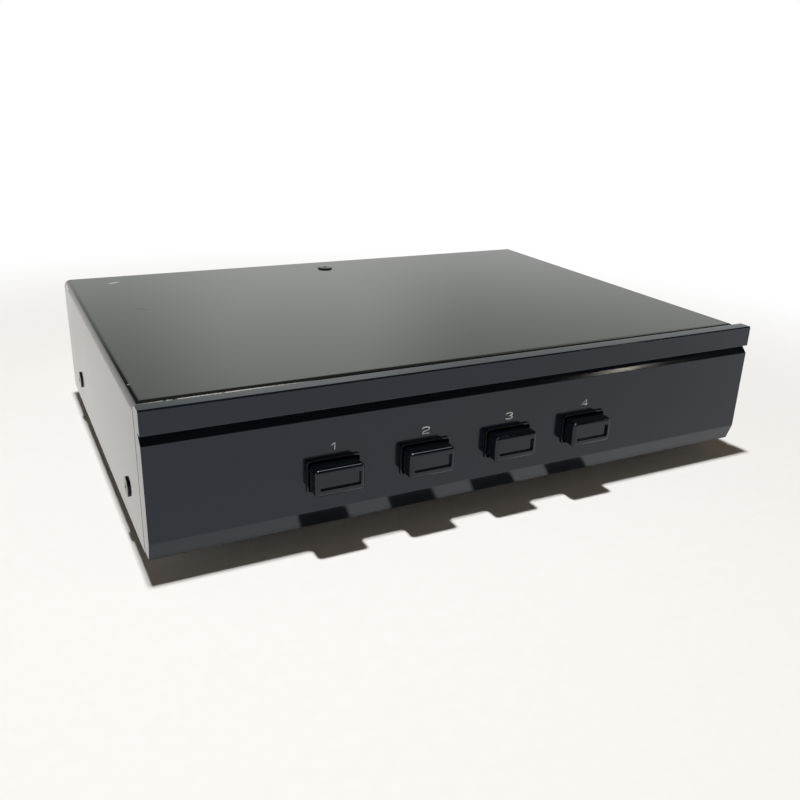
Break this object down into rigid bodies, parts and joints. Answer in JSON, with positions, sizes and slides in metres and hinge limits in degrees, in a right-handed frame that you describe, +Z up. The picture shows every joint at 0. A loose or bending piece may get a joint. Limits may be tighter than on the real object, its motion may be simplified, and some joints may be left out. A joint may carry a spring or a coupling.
{
  "type": "speaker selector switch",
  "caption": "Flat black steel case with a solid grooved front panel, a row of latching push buttons and plug-in screw terminals at the rear, for switching pairs of loudspeakers.",
  "frame": {"origin": "bottom centre of the bounding box, on the surface that the feet rest on", "axes": "+X along the front from left to right, +Y from the front to the rear, +Z up"},
  "size_m": [0.2174, 0.17, 0.0515],
  "materials": {
    "cover_paint": "semi-gloss black paint on sheet steel",
    "chassis_zinc": "zinc-plated sheet steel",
    "panel_anodised": "satin black anodised",
    "screw_black": "blackened steel",
    "screw_zinc": "zinc-plated steel",
    "foot_rubber": "black rubber",
    "board_laminate": "green solder resist on glass and epoxy",
    "resistor_ceramic": "white ceramic",
    "button_plastic": "gloss black moulding",
    "housing_plastic": "black moulding",
    "slider_plastic": "white acetal",
    "contact_brass": "silvered brass",
    "spring_steel": "spring steel",
    "terminal_plastic": "green moulding"
  },
  "bodies": {
    "case": {"top_cover": "cover_paint", "chassis_base": "chassis_zinc", "front_panel": "panel_anodised", "front_panel_screws": "screw_zinc", "cover_side_screws": "screw_black", "cover_rear_screw": "screw_black", "foot_front_left": "foot_rubber", "foot_front_right": "foot_rubber", "foot_rear_left": "foot_rubber", "foot_rear_right": "foot_rubber", "foot_screws": "screw_zinc", "circuit_board": "board_laminate", "board_standoffs": "screw_zinc", "board_screws": "screw_zinc", "protection_resistors": "resistor_ceramic", "button_bezel_1": "button_plastic", "button_bezel_2": "button_plastic", "button_bezel_3": "button_plastic", "button_bezel_4": "button_plastic", "switch_housing_1": "housing_plastic", "switch_housing_2": "housing_plastic", "switch_housing_3": "housing_plastic", "switch_housing_4": "housing_plastic", "switch_contacts_1": "contact_brass", "switch_contacts_2": "contact_brass", "switch_contacts_3": "contact_brass", "switch_contacts_4": "contact_brass", "return_spring_1": "spring_steel", "return_spring_2": "spring_steel", "return_spring_3": "spring_steel", "return_spring_4": "spring_steel", "latch_wire_1": "spring_steel", "latch_wire_2": "spring_steel", "latch_wire_3": "spring_steel", "latch_wire_4": "spring_steel", "input_socket": "terminal_plastic", "output_socket_1": "terminal_plastic", "output_socket_2": "terminal_plastic", "output_socket_3": "terminal_plastic", "output_socket_4": "terminal_plastic", "input_plug": "terminal_plastic", "output_plug_1": "terminal_plastic", "output_plug_2": "terminal_plastic", "output_plug_3": "terminal_plastic", "output_plug_4": "terminal_plastic", "terminal_pins": "contact_brass", "clamp_screws": "screw_zinc"},
    "button_1": {"button_cap_1": "button_plastic", "switch_slider_1": "slider_plastic", "contact_bridges_1": "contact_brass"},
    "button_2": {"button_cap_2": "button_plastic", "switch_slider_2": "slider_plastic", "contact_bridges_2": "contact_brass"},
    "button_3": {"button_cap_3": "button_plastic", "switch_slider_3": "slider_plastic", "contact_bridges_3": "contact_brass"},
    "button_4": {"button_cap_4": "button_plastic", "switch_slider_4": "slider_plastic", "contact_bridges_4": "contact_brass"}
  },
  "joints": [
    {"name": "button_1_press", "type": "slide", "parent": "case", "child": "button_1", "axis": [0, 1, 0], "range_m": [0, 0.0035], "stiffness_N_per_m": 300, "springref_m": -0.006, "deforming": ["return_spring_1"]},
    {"name": "button_2_press", "type": "slide", "parent": "case", "child": "button_2", "axis": [0, 1, 0], "range_m": [0, 0.0035], "stiffness_N_per_m": 300, "springref_m": -0.006, "deforming": ["return_spring_2"]},
    {"name": "button_3_press", "type": "slide", "parent": "case", "child": "button_3", "axis": [0, 1, 0], "range_m": [0, 0.0035], "stiffness_N_per_m": 300, "springref_m": -0.006, "deforming": ["return_spring_3"]},
    {"name": "button_4_press", "type": "slide", "parent": "case", "child": "button_4", "axis": [0, 1, 0], "range_m": [0, 0.0035], "stiffness_N_per_m": 300, "springref_m": -0.006, "deforming": ["return_spring_4"]}
  ]
}
